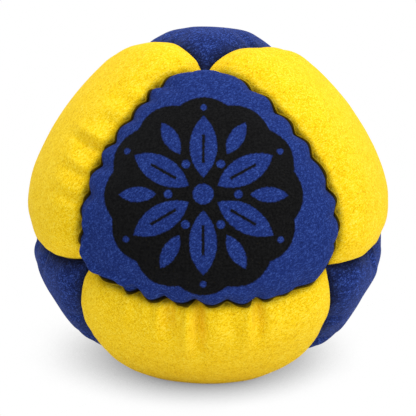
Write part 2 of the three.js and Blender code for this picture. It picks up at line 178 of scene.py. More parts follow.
def addSuedeNap(tree, nap):
    place = addNode(tree, "TexCoord", {}).outputs["Object"]
    combed = addNode(tree, "Mapping", {
        "vector_type": "TEXTURE", "Scale": (1, 1, suedeNap["combing"]),
        "Rotation": [math.radians(angle) for angle in suedeNap["lay"]]}, {"Vector": place}).outputs[0]
    fibres, tufts, strokes = [
        addNode(tree, "TexNoise", {
            "Scale": perMillimetre(suedeNap[size]), "Detail": detail,
            "Roughness": suedeNap["fineShare"],
        }, {"Vector": combed}).outputs["Fac"]
        for size, detail in (("fibreSize", 1.0), ("tuftSize", 1.0), ("strokeSize", 2.0))
    ]
    fine = addMath(tree, "MULTIPLY_ADD", tufts, nap["tufts"], fibres)
    mixed = addMath(tree, "MULTIPLY_ADD", strokes, nap["strokes"], fine)
    middle = 0.5 * (1 + nap["tufts"] + nap["strokes"])
    level = addNode(tree, "MapRange", {
        "From Min": middle - nap["spread"], "From Max": middle + nap["spread"]}, {"Value": mixed})
    ramp = addNode(tree, "ValToRGB", {}, {"Fac": level.outputs[0]})
    between, along, tips = [linearColour(colour) for colour in nap["colours"]]
    ramp.color_ramp.elements[0].color = between
    ramp.color_ramp.elements[1].color = tips
    ramp.color_ramp.elements.new(0.5).color = along
    below = {}
    for source, height in ((fibres, "fibreHeight"), (tufts, "tuftHeight")):
        bump = addNode(tree, "Bump", {
            "Strength": suedeNap["relief"], "Distance": suedeNap[height] * millimetre,
        }, {"Height": source, **below})
        below = {"Normal": bump.outputs[0]}
    return place, ramp.outputs[0], bump.outputs[0]


def brushedSuede(name, nap, printed=False):
    # Polyester microfibre suede, sanded to a short nap: no gloss, paler where fibres stand to the eye
    material, tree = newMaterial(name)
    place, colour, normal = addSuedeNap(tree, nap)
    if printed:
        ink, inkColour = addRosettePrint(tree, place)
        inked = addNode(tree, "Mix", {"data_type": "RGBA"}, {0: ink, 6: colour, 7: inkColour})
        colour = inked.outputs[2]
    # painted shade and soil: the nap is darkened towards the seams and at the stitches, where the lips
    # and creases cast shade
    pressed = addNode(tree, "Attribute", {"attribute_name": "pressedNap"}).outputs["Fac"]
    shadedAndSoiled = addNode(tree, "Mix", {"data_type": "RGBA", 7: linearColour(nap["shadeAndSoilColour"])},
                     {0: pressed, 6: colour})
    surface = addNode(tree, "BsdfPrincipled", {
        "Roughness": 0.95, "IOR": 1.5, "Specular IOR Level": 0.12, "Sheen Weight": nap["sheen"],
        "Sheen Roughness": 0.45, "Sheen Tint": linearColour(nap["sheenColour"]),
    }, {"Base Color": shadedAndSoiled.outputs[2], "Normal": normal})
    addNode(tree, "OutputMaterial", {}, {"Surface": surface.outputs[0]})
    return material


def blueSuede():
    return brushedSuede("brushedBlueMicrofibreSuede", blueNap)


def printedSuede():
    # the same suede screen-printed with pigment ink, which mats the nap and hides most of its sheen
    return brushedSuede("screenPrintedBlueMicrofibreSuede", printedNap, printed=True)


def yellowSuede():
    return brushedSuede("brushedYellowMicrofibreSuede", yellowNap)


rosette = {
    "centre": (-0.4, 0.0),   # mm from the middle of the front panel
    "petals": 6,
    "petal": (6.4, 4.2, 1.8),  # distance out, half length and half width
    "leaf": (8.7, 2.5, 1.0),   # the small leaves between the petals
    "vein": (4.1, 8.0, 0.2),   # from, to and half width
    "eye": 1.35,             # radius of the dot in the middle
    "bead": (4.6, 0.55),     # distance out and radius of the beads between the petals
    "rimBead": (11.8, 0.42),   # and of those off the petals' tips
    "radius": 12.5,          # of the black ground, at the notches between its lobes
    "lobes": 0.8,            # how far they stand out
    "inkBleed": 0.14,        # mm that the nap frays the ink's edge
    "fraySize": 0.35,
    "inkEdge": 0.09,         # half of the width over which the ink thins out
    "ink": ("#030303", "#141414"),
    "inkLevels": (0.35, 0.75),  # of the mottling, at each of these colours
}


def addRosettePrint(tree, place):  # half a petal, half a leaf and their ground, folded round the middle
    tilt = math.radians(bag["frontTilt"])
    frontAxis = Vector((0, -math.cos(tilt), math.sin(tilt)))
    middle = Vector(ballCentre) * millimetre + frontAxis * bag["radius"] * millimetre
    flat = addNode(tree, "Mapping", {
        "vector_type": "TEXTURE", "Location": middle, "Scale": (millimetre,) * 3,
        "Rotation": (math.radians(90 - bag["frontTilt"]), 0, 0)}, {"Vector": place}).outputs[0]
    fray = addNode(tree, "TexNoise", {"Scale": perMillimetre(rosette["fraySize"]), "Detail": 2.0},
                   {"Vector": place}).outputs["Color"]
    nudged = addNode(tree, "VectorMath", {
        "operation": "MULTIPLY_ADD", 1: (2 * rosette["inkBleed"],) * 3}, {0: fray, 2: flat}).outputs[0]
    centre = [offset + rosette["inkBleed"] for offset in rosette["centre"]]
    centred = addNode(tree, "VectorMath", {"operation": "SUBTRACT", 1: (*centre, 0)}, {0: nudged})
    axes = addNode(tree, "SeparateXYZ", {}, {0: centred.outputs[0]})

    def lengthOf(across, up):
        flat = addNode(tree, "CombineXYZ", {}, {0: across, 1: up}).outputs[0]
        return addNode(tree, "VectorMath", {"operation": "LENGTH"}, {0: flat}).outputs["Value"]

    across, up = axes.outputs[0], axes.outputs[1]
    out = lengthOf(across, up)
    foldAngle = math.pi / rosette["petals"]
    folded = addMath(tree, "PINGPONG", addMath(tree, "ARCTAN2", across, up), foldAngle)

    def offLine(turn):  # along and across a ray of the folded rosette
        fromRay = addMath(tree, "SUBTRACT", folded, turn)
        aside = addMath(tree, "ABSOLUTE", addMath(tree, "SINE", fromRay))
        along = addMath(tree, "COSINE", fromRay)
        return addMath(tree, "MULTIPLY", out, along), addMath(tree, "MULTIPLY", out, aside)

    def roundOff(line, centre, lift, radius):  # distance to a circle, and to a leaf where it is lifted
        forward = addMath(tree, "SUBTRACT", line[0], centre)
        reach = lengthOf(forward, addMath(tree, "ADD", line[1], lift))
        return addMath(tree, "SUBTRACT", reach, radius)

    def leaf(line, size):
        centre, halfLength, halfWidth = size
        curve = (halfLength ** 2 + halfWidth ** 2) / (2 * halfWidth)
        return roundOff(line, centre, curve - halfWidth, curve)

    petalRay, leafRay = offLine(0), offLine(foldAngle)
    shapes = [leaf(petalRay, rosette["petal"]), leaf(leafRay, rosette["leaf"]),
              roundOff(leafRay, rosette["bead"][0], 0, rosette["bead"][1]),
              roundOff(petalRay, 0, 0, rosette["eye"]),
              roundOff(petalRay, rosette["rimBead"][0], 0, rosette["rimBead"][1])]
    bare = shapes[0]
    for shape in shapes[1:]:
        bare = addMath(tree, "MINIMUM", bare, shape)
    veinStart, veinEnd, veinHalf = rosette["vein"]
    offMiddle = addMath(tree, "SUBTRACT", petalRay[0], (veinStart + veinEnd) / 2)
    pastEnd = addMath(tree, "SUBTRACT", addMath(tree, "ABSOLUTE", offMiddle), (veinEnd - veinStart) / 2)
    vein = addMath(tree, "MAXIMUM", pastEnd, addMath(tree, "SUBTRACT", petalRay[1], veinHalf))
    bare = addMath(tree, "MAXIMUM", bare, addMath(tree, "MULTIPLY", vein, -1.0))
    swell = addMath(tree, "COSINE", addMath(tree, "MULTIPLY", folded, rosette["petals"]))
    bulge = addMath(tree, "ABSOLUTE", swell)
    rim = addMath(tree, "MULTIPLY_ADD", bulge, rosette["lobes"], rosette["radius"])
    ground = addMath(tree, "SUBTRACT", out, rim)
    edge = addMath(tree, "MAXIMUM", ground, addMath(tree, "MULTIPLY", bare, -1.0))
    ink = addNode(tree, "MapRange", {"From Min": rosette["inkEdge"], "From Max": -rosette["inkEdge"]},
                  {"Value": edge}).outputs[0]
    pigment = addNode(tree, "TexNoise", {"Scale": perMillimetre(suedeNap["tuftSize"]), "Detail": 2.0},
                      {"Vector": place}).outputs["Fac"]
    return ink, twoColours(tree, pigment, rosette["ink"], rosette["inkLevels"])


# Panels

signsOf = {
    "front": (1, 1, 1), "top": (1, -1, -1), "lower_left": (-1, 1, -1), "lower_right": (-1, -1, 1),
    "left": (1, 1, -1), "right": (1, -1, 1), "bottom": (-1, 1, 1), "back": (-1, -1, -1),
}

frontPanel = {
    "shoulder": 3.2,         # mm from the sewn line to the full round
    "rollPower": 2.8,        # above 2 the lip rolls over more sharply than a circle
    "fullness": 0.0,         # mm past the bag's round
    "swing": -1,             # between stitches the edge bulges over its neighbour
    "gather": -0.13,         # mm, with valleys at the stitches
    "gatherReach": 1.9,
    "gap": 0.5,              # mm that the edge stands off
    "overhang": (0, 0, 0),   # mm that its nose hangs over the neighbour across each seam
    "overhangReach": 7.0,
    "blunt": (1.0, 1.0, 1.0),  # mm that the ends of each seam draw back
    "bluntReach": 1.6,
    "pressed": (0.15, 0.6),  # mm from the sewn line, where the painted shade and soil give way to clean nap
    "slack": 1.3,            # how much of the simulated slack shows
    "pinch": 0.8,            # mm, the ridge that runs round its second corner behind the lip
    # the folds that run in from a stitch: seam, pitches along it, and depth and length in mm
    "folds": (
        (0, 1.2, 0.25, 3.0), (0, 2.34, 0.3, 4.0), (0, 4.15, 0.15, 3.0), (0, 6.01, 0.15, 3.0),
        (1, 3.25, 0.15, 3.0), (1, 6.08, 0.15, 3.0), (1, 7.9, 0.2, 3.5),
        (2, 2.1, 0.15, 3.0), (2, 5.26, 0.25, 3.5), (2, 6.3, 0.15, 3.5), (2, 7.5, 0.25, 3.0)),
}

sideFolds = (
    (0, 2.2, 0.35, 4.0), (0, 3.9, 0.5, 5.5), (0, 5.1, 0.3, 3.5), (0, 6.8, 0.4, 4.5),
    (1, 1.9, 0.3, 4.0), (1, 3.2, 0.45, 5.0), (1, 5.4, 0.5, 5.5), (1, 7.0, 0.3, 3.5),
    (2, 2.4, 0.4, 4.5), (2, 4.4, 0.3, 4.0), (2, 5.7, 0.5, 5.5), (2, 7.1, 0.35, 4.0))

bluePanel = {
    "shoulder": 6.5,
    "rollPower": 2.0,
    "fullness": 0.0,
    "swing": -1,
    "gather": -0.06,
    "gatherReach": 2.4,
    "gap": 0.2,
    "overhang": (0, 0, 0),
    "overhangReach": 7.0,
    "blunt": (0.2, 0.2, 0.2),
    "bluntReach": 1.6,
    "pressed": (-0.7, 2.4),
    "slack": 1.2,
    "pinch": 0,
    "folds": sideFolds,
}

yellowPanel = {
    "shoulder": 5.5,
    "rollPower": 2.8,
    "fullness": 0.05,
    "swing": 0.8,
    "gather": -0.12,
    "gatherReach": 2.4,
    "gap": -0.18,
    "overhang": (0.3, 0.3, 0.3),
    "overhangReach": 7.0,
    "blunt": (0.3, 0.3, 0.3),
    "bluntReach": 1.0,
    "pressed": (-0.1, 0.32),
    "slack": 1.0,
    "pinch": 0,
    "folds": sideFolds,
}

topPanel = {
    **bluePanel,
    "folds": (
        (0, 3.2, 0.3, 4.0), (0, 5.9, 0.35, 4.5), (1, 2.3, 0.35, 4.5), (1, 4.4, 0.3, 3.5),
        (2, 2.1, 0.3, 4.0), (2, 4.2, 0.35, 3.5)),
}

lowerLeftPanel = {**bluePanel, "blunt": (-1.1, 0.2, 0.2), "bluntReach": 2.4}

leftPanel = {
    **yellowPanel,
    "fullness": 0.15,
    "overhang": (0.1, 0.8, 0),
    "overhangReach": 5.5,
    "blunt": (1.9, 0.3, 0.3),
    "bluntReach": 2.4,
    "folds": (
        (2, 1.0, 0.35, 3.5), (2, 3.2, 0.2, 4.0), (2, 4.0, 0.25, 4.0), (2, 4.9, 0.7, 6.5),
        (2, 5.85, 0.45, 5.0), (2, 6.7, 0.4, 5.0)),
}

rightPanel = {
    **yellowPanel,
    "fullness": 0.15,
    "overhang": (0.2, 0, 0.5),
    "overhangReach": 6.0,
    "folds": ((1, 1.1, 0.25, 3.0), (1, 2.15, 0.12, 3.5), (1, 4.12, 0.12, 3.5), (1, 5.94, 0.12, 3.0)),
}

bottomPanel = {
    **yellowPanel,
    "overhang": (0, 0, 0.65),
    "overhangReach": 14.0,
    "folds": (
        (0, 2.34, 0.3, 4.0), (0, 3.4, 1.0, 5.0), (0, 4.27, 1.4, 7.5), (0, 5.2, 0.3, 4.5),
        (0, 6.05, 1.1, 5.5), (0, 6.8, 0.2, 4.0)),
}

looks = {
    "front": frontPanel, "top": topPanel, "lower_left": lowerLeftPanel, "lower_right": bluePanel,
    "left": leftPanel, "right": rightPanel, "bottom": bottomPanel, "back": yellowPanel,
}

sewing = {
    "seed": 7,
    "unevenness": 0.28,      # of a pitch
    "lobeSwing": 0.36,       # mm that the seam swings to each side
    "lobeUnevenness": 0.35,
    "plainShare": 0.26,      # of that swing in the seams that don't border the front panel
    "lobeReach": 3.0,        # mm over which the swing fades
    "lipLean": 0.5,          # how much further the lip swings than the sewn line
    "lipHeight": 1.6,
    "foldCrest": 0.6,        # how high the crest on its first side stands, as a share of its depth
    "crestAside": 2,         # fold widths from its middle
    "foldWidth": 0.15,       # pitches to each side of a fold's middle, where it starts
    "foldSpread": 0.3,       # how much wider it is at its other end
    "lipPinch": 0.4,         # the share of the gap that a stitch closes
    "noseStart": 1.8,        # mm from a corner to where an overhang is full
    "slackStart": (0.2, 1.5),  # mm from the sewn line, where the simulated slack comes in
    "sewnUnder": 0.4,        # mm that the sewn line lies under the crease's floor
    "pullReach": 0.5,        # mm, round a stitch
    "stitchSharpness": 8,    # the power that narrows what a stitch does along its seam
    "notchReach": 0.6,       # mm of painted shade and soil at each stitch
    "notchShade": 0.75,
    "notchEase": 0.02,       # 0 for sharp notches between the lobes
}

ridge = {                    # the pinched ridge round a corner, in mm
    "fromLip": 2.3,
    "width": 0.7,
    "valley": 0.8,           # how deep the skin dips beside it, as a share of its height
    "valleyAside": 1.8,      # ridge widths towards the lip
    "rises": (1, 5),         # from the corner
    "ends": (8, 15),
    "blend": 4,              # how sharply it turns from one seam to the next
    "offSeam": 0.01,         # keeps the distance to a seam from being 0
}

# The front panel's three seams: where their stitches sit, in pitches from the seam's first corner, how
# far each of the lobes between them swings, and how far in mm the lips are pushed towards the panel's
# middle at each stitch
frontSeams = {
    "left": ((0.95, 2.07, 2.79, 3.56, 4.44, 5.26, 6.22, 7.4),
             (0.8, 0.85, 1.1, 0.6, 1.05, 1.2, 1.05, 1.1, 1.1),
             (0.6, 0.1, 0.7, 0.4, 0.2, 0.2, 0.15, 0.35)),
    "right": ((1.1, 2.15, 3.25, 4.12, 5.02, 6.08, 6.93, 7.86),
              (1.0, 0.43, 1.1, 0.7, 1.08, 0.55, 1.0, 0.67, 0.5),
              (-0.05, 0.05, 0.2, 0.33, 0.27, 0.3, 0.1, 0.28)),
    "bottom": ((1.67, 2.34, 3.25, 4.15, 5.11, 6.01, 6.63, 7.25),
               (0.5, 0.98, 1.39, 0.8, 1.04, 1.02, 0.39, 0.2, 0.6),
               (0.45, 0.35, 0.32, 0.28, 0.2, 0.12, -0.2, 0.15)),
}

sag = {                      # all as shares of the radius
    "waistSwell": 0.012,
    "shoulderSlack": 0.044,
    "shoulder": (0, 0.6),    # the heights above the middle between which that slack comes in
    "crownRise": 0.035,
    "crown": (0.7, 1),
    "hipSwell": 0.005,
    "hipTop": (0.15, 0.55),  # and the depths below it
    "hipFoot": (0.75, 0.95),
}

# Where handling has pulled the seams out of true: a place, its move there and how far that reaches, as
# shares of the radius
drifts = {
    "topCorner": ((0.0, -0.41, 0.86), (-0.026, -0.059, -0.031), 0.27),
    "topRightSeam": ((0.27, -0.18, 0.9), (0.035, 0.0, -0.029), 0.26),
    "topLeftSeam": ((-0.31, -0.07, 0.9), (-0.012, 0.0, -0.006), 0.26),
    "rightSeam": ((0.5, -0.71, 0.38), (0.04, 0.033, 0.004), 0.35),
    "rightSeamLow": ((0.67, -0.67, 0.15), (0.014, 0.012, 0.0), 0.22),
    "leftSeam": ((-0.51, -0.71, 0.38), (-0.027, 0.02, 0.002), 0.35),
    "leftSeamHigh": ((-0.28, -0.58, 0.7), (-0.013, 0.022, 0.01), 0.18),
    "lowerLeftCorner": ((-0.63, -0.69, -0.18), (0.027, -0.022, 0.037), 0.35),
    "lowerRightCorner": ((0.63, -0.69, -0.21), (-0.013, -0.018, 0.029), 0.33),
    "bottomSeam": ((-0.03, -0.89, -0.32), (0.0, -0.005, 0.015), 0.35),
    "bottomSeamLeft": ((-0.51, -0.74, -0.43), (0.006, -0.004, 0.021), 0.17),
    "rightShoulder": ((0.54, -0.1, 0.83), (-0.005, 0.0, -0.008), 0.25),
    "leftShoulder": ((-0.57, -0.1, 0.8), (0.003, 0.0, -0.005), 0.25),
    "leftWaist": ((-0.94, -0.11, -0.16), (0.005, 0.0, -0.078), 0.33),
    "rightWaist": ((0.94, -0.11, -0.14), (0.0, 0.0, -0.062), 0.33),
    "leftHip": ((-0.64, -0.48, -0.57), (-0.005, 0.011, -0.015), 0.29),
    "rightHip": ((0.56, -0.51, -0.58), (-0.018, 0.004, -0.010), 0.29),
    "leftFlank": ((-0.85, -0.15, -0.42), (0.016, 0.0, 0.005), 0.2),
    "rightFlank": ((0.87, -0.15, -0.40), (-0.014, 0.0, 0.004), 0.2),
    "rightHaunch": ((0.73, -0.05, -0.68), (0.013, 0.0, -0.014), 0.2),
    "rightNose": ((0.46, -0.32, -0.86), (-0.010, 0.0, 0.012), 0.17),
}

sheetGrid = {
    "steps": 256,            # triangles along a seam
    "liningSteps": 72,
    "crowding": 1.4,         # above 1 the rows lie closer beside the seams
    "ringStep": 0.02,        # what keeps the rings of the turned-in edge apart until they are placed
    "liningDrop": 0.12,
}

# what each ring of the turned-in edge stands for
outerFace, sewnEdge, rawOutside, rawInside, liningRoot, lining = range(6)


def frontCorners():  # top, lower left and lower right, as unit vectors from the ball's centre
    offAxis = math.acos(math.sqrt(1 / 3))
    tilt = Matrix.Rotation(math.radians(-bag["frontTilt"]), 3, "X")
    corners = []
    for degrees in (90, 210, 330):
        turn = math.radians(degrees)
        across, up = math.cos(turn) * math.sin(offAxis), math.sin(turn) * math.sin(offAxis)
        corners.append(tilt @ Vector((across, -math.cos(offAxis), up)))
    return corners


def toPanel(signs):
    return np.array([np.array(corner) * sign for corner, sign in zip(frontCorners(), signs)]).T


def isBlue(signs):
    return signs[0] * signs[1] * signs[2] > 0


def smoothShare(value, low, high):
    share = np.clip((value - low) / (high - low), 0, 1)
    return share * share * (3 - 2 * share)


def seamStitches(removed, signs):  # each seam's stitches and lobes are the same from both of its panels
    ends = [signs[axis] for axis in range(3) if axis != removed]
    seed = sewing["seed"] + 9 * removed + 3 * ends[0] + ends[1] + 4  # another one for each of the seams
    random = np.random.default_rng(seed)
    stitches = np.arange(1, pitches) + random.uniform(-1, 1, pitches - 1) * sewing["unevenness"]
    lobes = 1 + random.uniform(-1, 1, pitches) * sewing["lobeUnevenness"]
    pushes = np.zeros(pitches - 1)
    if ends == [1, 1]:
        stitches, lobes, pushes = frontSeams[("bottom", "right", "left")[removed]]
    else:
        lobes *= sewing["plainShare"]
    return np.concatenate([[0], stitches, [pitches]]), lobes, np.concatenate([[0], pushes, [0]])


def placeOnSeam(directions, removed):  # in pitches from the seam's first corner
    first, second = [axis for axis in range(3) if axis != removed]
    return np.arctan2(directions[:, second], directions[:, first]) / pitchAngle


def alongSeam(directions, removed, signs):
    place = placeOnSeam(directions, removed)
    stitches, lobes, pushes = seamStitches(removed, signs)
    phase = np.interp(place, stitches, np.arange(pitches + 1))
    lobe = np.interp(phase, np.arange(pitches) + 0.5, lobes)
    fromCorner = np.minimum(place, pitches - place)
    return phase, lobe, fromCorner, np.interp(place, stitches, pushes)


def dimple(angles):
    return bag["cornerDimple"] * (1 - smoothShare(bag["radius"] * angles, 0, bag["dimpleReach"]))


def blendedNearest(distances, blend):  # the distance to the nearest seam, rounded where two are as near
    return (distances ** -blend).sum(axis=1) ** (-1 / blend)


def pillowRadius(directions, look):
    slopes = np.clip(directions, 0, 1)
    distances = np.maximum(bag["radius"] * np.arcsin(slopes), bag["outerInset"])
    rise = np.clip(blendedNearest(distances, bag["seamBlend"]) / look["shoulder"], 0, 1)
    roll = (1 - (1 - rise) ** look["rollPower"]) ** (1 / look["rollPower"])
    sunk = dimple(np.arccos(slopes)).sum(axis=1)
    return bag["radius"] - bag["creaseDepth"] * (1 - roll) + look["fullness"] * roll - sunk


def foldDepth(directions, distance, removed, look):  # soft folds that run in from a stitch
    place = placeOnSeam(directions, removed)
    total = np.zeros(len(directions))
    for seam, stitch, depth, length in look["folds"]:
        if seam == removed:
            width = sewing["foldWidth"] * (1 + sewing["foldSpread"] * distance / length)
            across = (place - stitch) / width
            crest = sewing["foldCrest"] * np.exp(-(across + sewing["crestAside"]) ** 2)
            total += depth * (np.exp(-across ** 2) - crest) * np.exp(-(distance / length) ** 3)
    return total


def ridgeHeight(directions, distances, look):  # round the panel's second corner
    behindLip = blendedNearest(distances + ridge["offSeam"], ridge["blend"]) - ridge["fromLip"]
    across = behindLip / ridge["width"]
    profile = np.exp(-across ** 2) - ridge["valley"] * np.exp(-(across + ridge["valleyAside"]) ** 2)
    fromCorner = bag["radius"] * np.arccos(np.clip(directions[:, 1], 0, 1))
    risen = smoothShare(fromCorner, *ridge["rises"])
    return look["pinch"] * profile * risen * (1 - smoothShare(fromCorner, *ridge["ends"]))


def unitRows(vectors):
    return vectors / np.linalg.norm(vectors, axis=1, keepdims=True)


def panelPoints(shares, ring, signs, look, slack):  # in the octant, from shares of its three corners
    crowded = shares ** sheetGrid["crowding"]
    crowded[ring == lining] = shares[ring == lining]
    crowded /= crowded.sum(axis=1, keepdims=True)
    directions = unitRows(np.sin(crowded * math.pi / 2))
    distances = bag["radius"] * np.arcsin(np.clip(directions, 0, 1))
    onFace = ring == outerFace
    inside = ring >= rawInside
    radius = pillowRadius(directions, look)
    sunk = dimple(np.arccos(np.clip(directions, 0, 1))).sum(axis=1)
    crease = bag["radius"] - bag["creaseDepth"] - sunk
    slackShare = smoothShare(distances.min(axis=1), *sewing["slackStart"])
    radius += slackRelief(directions, slack) * slackShare * look["slack"]
    radius += ridgeHeight(directions, distances, look)
    shift = np.zeros_like(directions)
    notched = np.zeros(len(directions))
    for removed in range(3):
        phase, lobe, fromCorner, push = alongSeam(directions, removed, signs)
        distance = distances[:, removed]
        fade = np.clip(2 * fromCorner - 1, 0, 1)  # the lobes start half a pitch from a corner
        gather = look["gather"] * lobe * np.cos(2 * math.pi * phase)
        gather *= np.exp(-distance / look["gatherReach"])
        radius += np.where(onFace, gather * fade, 0) - foldDepth(directions, distance, removed, look)
        pull = bag["stitchPull"] * np.cos(math.pi * phase) ** 2 * smoothShare(fromCorner, 0, 1)
        radius -= pull * np.exp(-distance / sewing["pullReach"])
        crease -= pull * np.exp(-distance / sewing["pullReach"])
        height = np.where(onFace, np.clip((radius - crease) / sewing["lipHeight"], 0, 1), 0)
        ease = sewing["notchEase"]
        wave = 2 * np.sqrt((np.sin(math.pi * phase) ** 2 + ease) / (1 + ease)) - 1
        swing = look["swing"] * sewing["lobeSwing"] * lobe * fade * wave
        swing *= 1 + sewing["lipLean"] * height
        alongEdge = fromCorner * pitchAngle * bag["radius"]
        blunt = look["blunt"][removed] * np.exp(-alongEdge / look["bluntReach"])
        parting = look["gap"] * (1 - sewing["lipPinch"] * fade * np.cos(math.pi * phase) ** 2)
        noseShare = smoothShare(alongEdge, 0, sewing["noseStart"])
        nose = noseShare * np.exp(-(alongEdge / look["overhangReach"]) ** 2)
        parting -= look["overhang"][removed] * nose + push * math.copysign(1, look["swing"])
        inset = np.where(inside, bag["innerInset"], bag["outerInset"]) + (blunt + parting) * height
        near = np.exp(-(distance / sewing["lobeReach"]) ** 2)
        # painted shade and soil in the notch at each stitch
        atStitch = np.cos(math.pi * phase) ** sewing["stitchSharpness"]
        notch = atStitch * np.exp(-(distance / sewing["notchReach"]) ** 2)
        notched = np.maximum(notched, notch * fade * np.clip(lobe, 0, 1) * sewing["notchShade"])
        shift[:, removed] = (inset + swing) * near
    radius = np.where(ring == sewnEdge, crease - sewing["sewnUnder"], radius)
    radius = np.where((ring == rawOutside) | (ring == rawInside), crease - bag["seamAllowance"], radius)
    radius = np.where(ring >= liningRoot, radius - bag["thickness"], radius)
    # painted shade and soil, darkest at the sewn line and at the stitches, and full on the turned-in
    # edge
    pressed = np.maximum(1 - smoothShare(distances.min(axis=1), *look["pressed"]), notched)
    pressed[ring != outerFace] = 1
    return unitRows(directions + shift / bag["radius"]) * radius[:, None], pressed


def settle(points):  # the pellets have run down: slack upper shoulders over a fuller waist
    places = points / bag["radius"]
    moved = places.copy()
    for place, move, reach in drifts.values():
        away = np.linalg.norm(places - np.array(place), axis=1) / reach
        moved += np.exp(-away ** 2)[:, None] * np.array(move)
    height = moved[:, 2]
    crown = sag["crownRise"] * smoothShare(height, *sag["crown"])
    slack = sag["shoulderSlack"] * smoothShare(height, *sag["shoulder"]) - crown
    hips = sag["hipSwell"] * smoothShare(-height, *sag["hipTop"])
    hips *= 1 - smoothShare(-height, *sag["hipFoot"])
    return moved * (1 + sag["waistSwell"] + hips - slack)[:, None] * bag["radius"]


def restOnPlane(points):  # a soft edge round the flat that the bag rests on
    above = points[:, 2] - restingPlane
    ease = bag["restEase"]
    points[:, 2] = restingPlane + 0.5 * (above + np.sqrt(above ** 2 + ease ** 2))
    return points


def cutTriangle(work, corners, steps):
    face = work.faces.new([work.verts.new(corner) for corner in corners])
    if steps > 1:
        bmesh.ops.subdivide_edges(work, edges=list(face.edges), cuts=steps - 1, use_grid_fill=True)


cloth = {
    "steps": 36,             # triangles along a seam of the sheets that are simulated
    "scale": 20.0,           # the sheets are simulated this many times larger
    "slack": 0.05,           # how much wider than its place each sheet is cut
    "unevenness": 0.06,      # mm
    "pressure": 5.0,         # of the pellets
    "rimHold": 0.35,         # how firmly the rim is held between two stitches, from 0 to 1
    "frames": 20,
    "quality": 6,            # steps of the solver in a frame
    "mass": 0.3,
    "tension": 15,
    "shear": 5,
    "bending": 0.4,
    "swellReach": 3.6,       # mm: wider swellings than this are left out, as the pillow has its own
    "reliefReach": 1.2,      # sheet triangles over which the relief is spread onto the fine skins
    "cap": 0.5,              # mm that a point may move
    "blockSize": 4096,       # points that are spread at once
    "seed": 11,
}


def clothSheet(signs):  # one panel's place in its octant, in mm, and how firmly each point is held
    look = bluePanel if isBlue(signs) else yellowPanel
    work = bmesh.new()
    cutTriangle(work, ((1, 0, 0), (0, 1, 0), (0, 0, 1)), cloth["steps"])
    shares = np.array([vert.co for vert in work.verts])
    directions = unitRows(np.sin(np.clip(shares, 0, 1) * math.pi / 2))
    places = directions * pillowRadius(directions, look)[:, None]
    held = np.zeros(len(shares))
    for removed in range(3):
        phase = alongSeam(directions, removed, signs)[0]
        atStitch = np.cos(math.pi * phase) ** sewing["stitchSharpness"]
        firm = cloth["rimHold"] + (1 - cloth["rimHold"]) * atStitch
        held = np.maximum(held, np.where(shares[:, removed] < tiny, firm, 0))
    return work, places, held


def simulateSlack():  # eight sheets, cut too wide, held at their stitches and pressed from inside
    random = np.random.default_rng(cloth["seed"])
    joined = bmesh.new()
    rest, firmness = [], []
    for signs in signsOf.values():
        work, places, held = clothSheet(signs)
        uneven = places + random.normal(0, cloth["unevenness"], places.shape)
        for vert, place in zip(work.verts, uneven):
            vert.co = Vector(place * signs) * millimetre * cloth["scale"]
        if np.prod(signs) < 0:
            bmesh.ops.reverse_faces(work, faces=work.faces)
        sheet = meshFrom(work, "clothSheet")
        joined.from_mesh(sheet)
        bpy.data.meshes.remove(sheet)
        rest.append(places)
        firmness.append(held)
    mesh = meshFrom(joined, "clothSheets")
    sheets = addObject("clothSheets", mesh)
    group = sheets.vertex_groups.new(name="held")
    for index, weight in enumerate(np.concatenate(firmness)):
        group.add([index], float(weight), "REPLACE")
    moved = settleCloth(sheets)
    bpy.data.objects.remove(sheets)
    bpy.data.meshes.remove(mesh)
    reliefs = {}
    start = 0
    for place, places in zip(signsOf, rest):
        blown = moved[start:start + len(places)]
        start += len(places)
        swell = np.linalg.norm(blown, axis=1) - np.linalg.norm(places, axis=1)
        directions = unitRows(places)
        wide = spread(directions, directions, swell, cloth["swellReach"])
        reliefs[place] = directions, np.clip(swell - wide, -cloth["cap"], cloth["cap"])
    depths = [round(float(np.abs(relief).mean()), 3) for _, relief in reliefs.values()]
    print("cloth simulated, relief in mm:", depths)
    return reliefs


def settleCloth(sheets):
    modifier = sheets.modifiers.new("cloth", "CLOTH")
    settings = modifier.settings
    settings.quality = cloth["quality"]
    settings.mass = cloth["mass"]
    settings.tension_stiffness = settings.compression_stiffness = cloth["tension"]
    settings.shear_stiffness = cloth["shear"]
    settings.bending_stiffness = cloth["bending"]
    settings.vertex_group_mass = "held"
    settings.shrink_min = settings.shrink_max = -cloth["slack"]
    settings.use_pressure = True
    settings.uniform_pressure_force = cloth["pressure"]
    settings.effector_weights.gravity = 0
    scene = bpy.context.scene
    for step in range(1, cloth["frames"] + 1):
        scene.frame_set(step)
    settled = sheets.evaluated_get(bpy.context.evaluated_depsgraph_get()).to_mesh()
    moved = np.empty(len(settled.vertices) * 3)
    settled.vertices.foreach_get("co", moved)
    scene.frame_set(1)
    return moved.reshape(-1, 3) / millimetre / cloth["scale"]


def spread(targets, sources, values, reach):  # each target takes the mean of the sources in its reach
    result = np.empty(len(targets))
    size = cloth["blockSize"]
    for start in range(0, len(targets), size):
        block = targets[start:start + size]
        apart = 2 - 2 * np.clip(block @ sources.T, -1, 1)
        weights = np.exp(-apart * (bag["radius"] / reach) ** 2)
        result[start:start + size] = weights @ values / weights.sum(axis=1)
    return result


def slackRelief(directions, slack):
    if slack is None:
        return np.zeros(len(directions))
    reach = cloth["reliefReach"] * math.pi / 2 * bag["radius"] / cloth["steps"]
    return spread(directions, *slack, reach)


